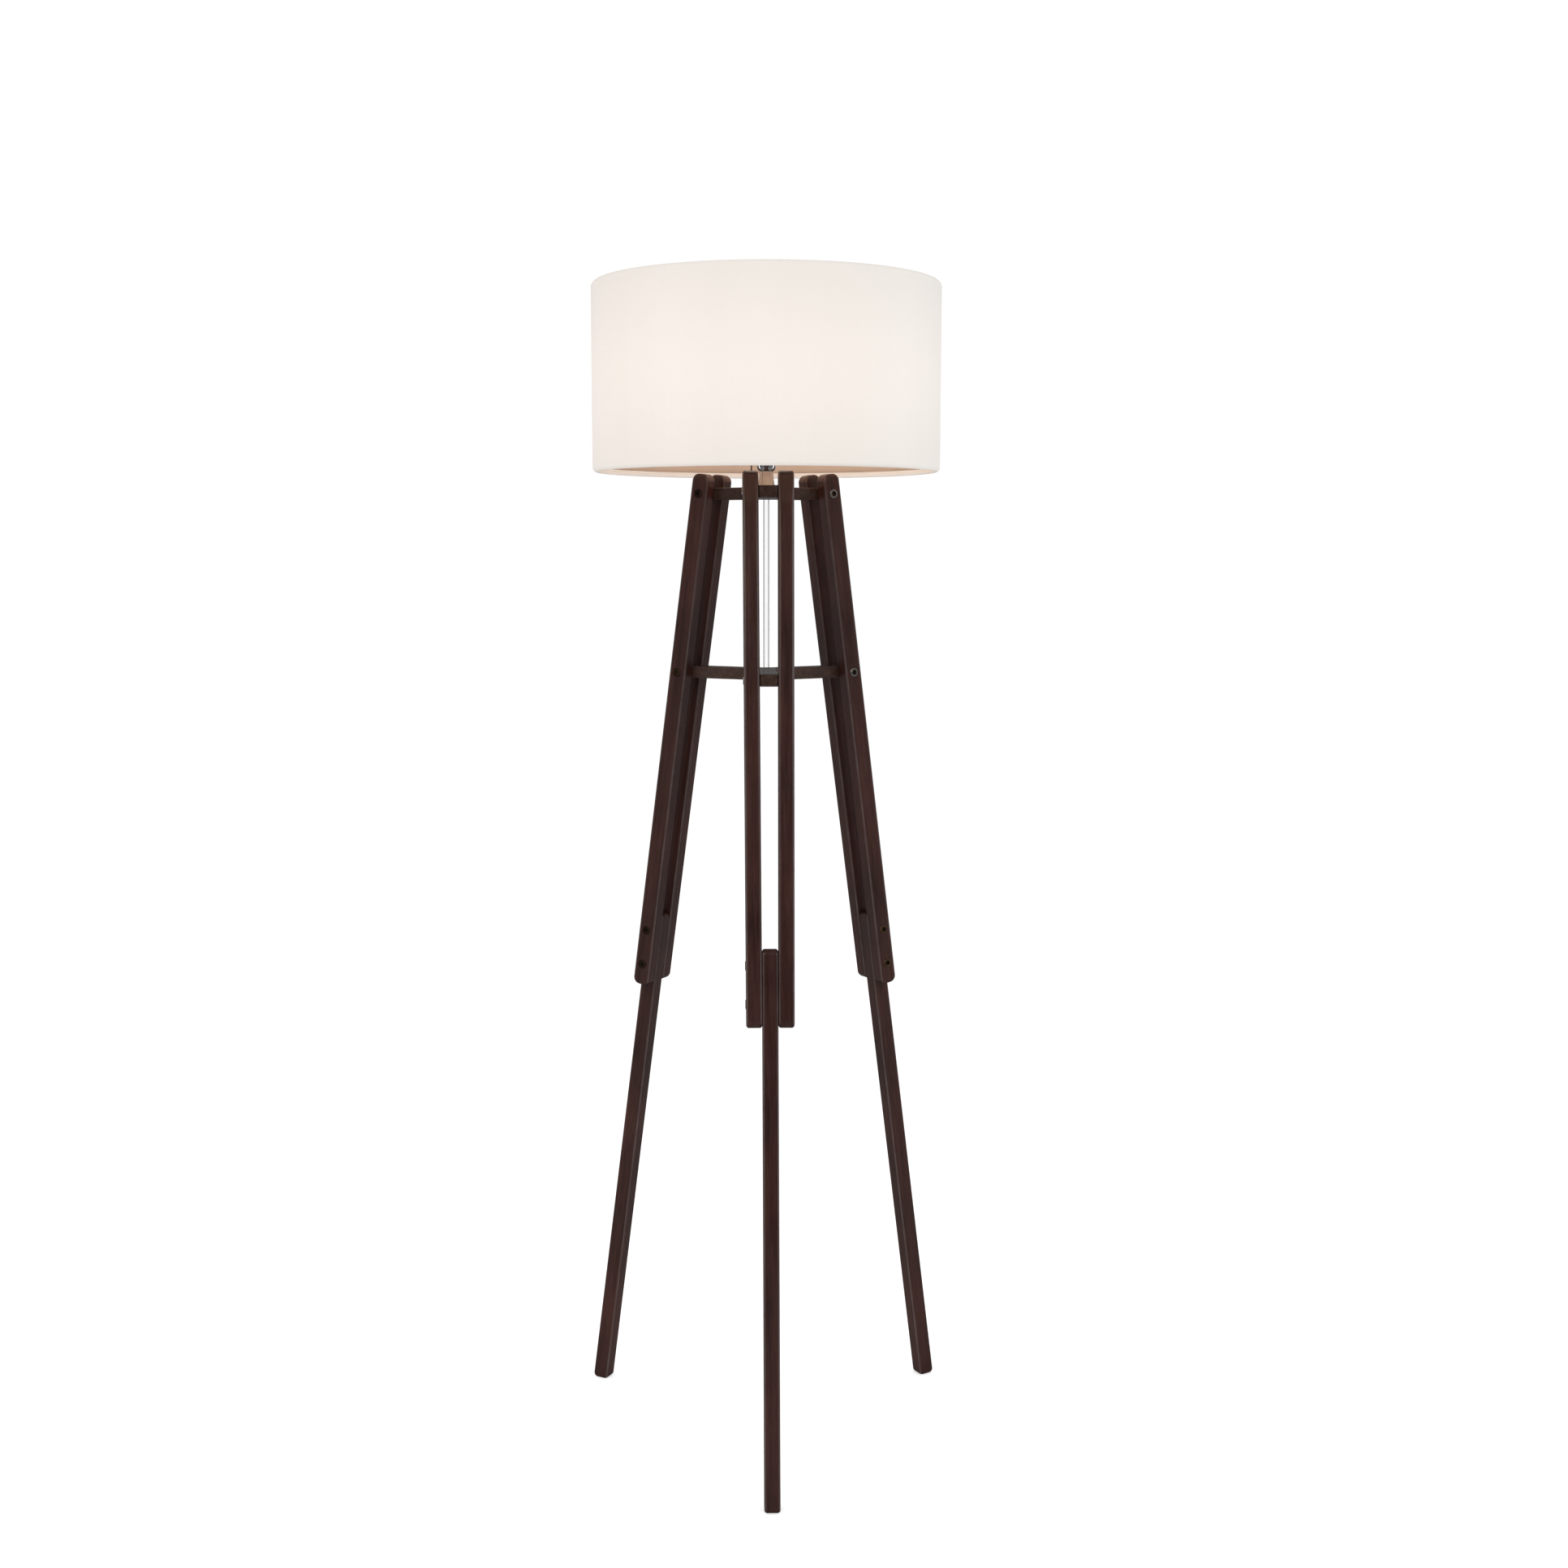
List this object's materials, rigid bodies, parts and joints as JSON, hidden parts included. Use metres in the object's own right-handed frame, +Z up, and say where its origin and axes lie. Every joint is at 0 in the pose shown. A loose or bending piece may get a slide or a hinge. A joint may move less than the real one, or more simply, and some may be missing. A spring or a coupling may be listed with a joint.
{
  "type": "tripod floor lamp",
  "caption": "Floor lamp on a tripod of split dark wooden legs joined by Y-shaped plates, with an off-white drum shade over one bulb.",
  "frame": {"origin": "on the floor, under the axis of the shade and the clear tube", "axes": "+Z up along the lamp's axis; the front leg points towards -Y"},
  "size_m": [0.4976, 0.5115, 1.5488],
  "materials": {
    "dark_wood": "satin dark espresso lacquer over straight grain",
    "knob_wood": "satin lacquer",
    "bolt_steel": "satin turned head",
    "nut_steel": "dark oxide",
    "zinc_steel": "zinc plated",
    "chrome": "polished",
    "black_plastic": "moulded",
    "clear_plastic": "clear",
    "brass": "satin",
    "bulb_aluminium": "plain",
    "frosted_glass": "frosted, lit warm",
    "shade_fabric": "off-white woven cotton",
    "shade_hem": "off-white folded tape",
    "shade_liner": "warm white styrene",
    "white_wire": "white enamel",
    "pull_cord": "braided dark brown"
  },
  "bodies": {
    "stand": {"base_flange": "chrome", "bolt_front_1": "bolt_steel", "bolt_front_2": "bolt_steel", "bolt_front_3": "bolt_steel", "bolt_front_4": "bolt_steel", "bolt_left_1": "bolt_steel", "bolt_left_2": "bolt_steel", "bolt_left_3": "bolt_steel", "bolt_left_4": "bolt_steel", "bolt_right_1": "bolt_steel", "bolt_right_2": "bolt_steel", "bolt_right_3": "bolt_steel", "bolt_right_4": "bolt_steel", "centre_contact": "brass", "clamp_ring": "black_plastic", "clear_tube": "clear_plastic", "holder_bowl": "chrome", "holder_shell": "chrome", "locknut_bowl": "zinc_steel", "locknut_plate": "zinc_steel", "lower_leg_front": "dark_wood", "lower_leg_left": "dark_wood", "lower_leg_right": "dark_wood", "mid_plate": "dark_wood", "neck": "chrome", "nipple": "zinc_steel", "nuts_front": "nut_steel", "nuts_left": "nut_steel", "nuts_right": "nut_steel", "pull_spout": "brass", "screw_shell": "brass", "slat_front_a": "dark_wood", "slat_front_b": "dark_wood", "slat_left_a": "dark_wood", "slat_left_b": "dark_wood", "slat_right_a": "dark_wood", "slat_right_b": "dark_wood", "socket_core": "black_plastic", "top_plate": "dark_wood", "washer": "zinc_steel"},
    "shade": {"shade_liner": "shade_liner", "shade_fabric": "shade_fabric", "shade_hem_top": "shade_hem", "shade_hem_bottom": "shade_hem", "shade_ring_top": "white_wire", "shade_ring_bottom": "white_wire", "shade_spider": "white_wire"},
    "bulb": {"bulb_cap": "bulb_aluminium", "bulb_button": "brass", "bulb_glass": "frosted_glass"},
    "pull": {"pull_plunger": "brass", "pull_cord": "pull_cord", "pull_knob": "knob_wood"}
  },
  "joints": [
    {"name": "shade_turn", "type": "hinge", "parent": "stand", "child": "shade", "pos_m": [0, 0, 1.354], "axis": [0, 0, 1], "continuous": true},
    {"name": "bulb_lift", "type": "slide", "parent": "stand", "child": "bulb", "axis": [0, 0, 1], "range_m": [0, 0.03]},
    {"name": "pull_switch", "type": "slide", "parent": "stand", "child": "pull", "axis": [0, 0, -1], "range_m": [0, 0.008], "stiffness_N_per_m": 400}
  ]
}
